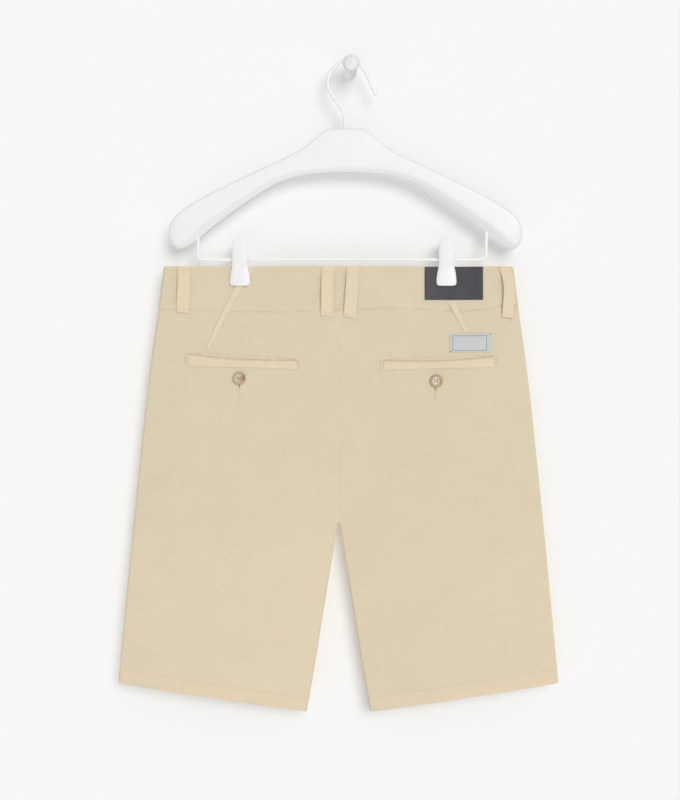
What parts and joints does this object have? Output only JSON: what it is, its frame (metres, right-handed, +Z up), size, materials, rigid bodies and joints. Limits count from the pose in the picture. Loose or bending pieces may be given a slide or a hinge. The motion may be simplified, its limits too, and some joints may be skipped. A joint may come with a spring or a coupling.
{
  "type": "bermuda shorts on a clip hanger and wall peg",
  "caption": "Cotton bermuda shorts with back darts, welt pockets and belt loops, hung flat by the waistband from a white clip hanger on a wall peg",
  "frame": {"origin": "middle of the wall peg's flat back face, on the wall", "axes": "+Z up; +Y into the wall, so the shorts' front faces +Y and their back faces -Y; +X to the wearer's right"},
  "size_m": [0.5552, 0.052, 0.8244],
  "materials": {
    "beige_cotton": "plain woven cotton twill, matt, with a soft washed face",
    "beige_cotton_trim": "the same cotton, doubled and pressed, a little paler",
    "dark_patch": "smooth dark grey patch, bare",
    "woven_label": "pale grey woven label with a thin border, bare",
    "brown_horn": "mottled brown horn-look button with a pale middle",
    "white_plastic": "satin white moulded plastic and white-coated wire",
    "white_paint": "white paint, satin"
  },
  "bodies": {
    "root": {"back_panel_left": "beige_cotton", "back_panel_right": "beige_cotton", "front_panel_left": "beige_cotton", "front_panel_right": "beige_cotton", "waistband_back_left": "beige_cotton", "waistband_back_right": "beige_cotton", "waistband_front_left": "beige_cotton", "waistband_front_right": "beige_cotton", "fly_edge": "beige_cotton", "waistband_tab": "beige_cotton", "front_pocket_edge_left": "beige_cotton", "front_pocket_edge_right": "beige_cotton", "belt_loop_back_outer_left": "beige_cotton_trim", "belt_loop_back_inner_left": "beige_cotton_trim", "belt_loop_back_inner_right": "beige_cotton_trim", "belt_loop_back_outer_right": "beige_cotton_trim", "belt_loop_front_left": "beige_cotton_trim", "belt_loop_front_right": "beige_cotton_trim", "dart_left": "beige_cotton_trim", "dart_right": "beige_cotton_trim", "pocket_welt_left": "beige_cotton_trim", "pocket_welt_right": "beige_cotton_trim", "pocket_button_left": "brown_horn", "pocket_button_right": "brown_horn", "waist_button": "brown_horn", "waistband_patch": "dark_patch", "woven_label": "woven_label", "hanger_body": "white_plastic", "hanger_hook": "white_plastic", "clip_bar": "white_plastic", "clip_left_back_jaw": "white_plastic", "clip_left_front_jaw": "white_plastic", "clip_left_hub": "white_plastic", "clip_right_back_jaw": "white_plastic", "clip_right_front_jaw": "white_plastic", "clip_right_hub": "white_plastic", "wall_peg": "white_paint"}
  },
  "joints": []
}
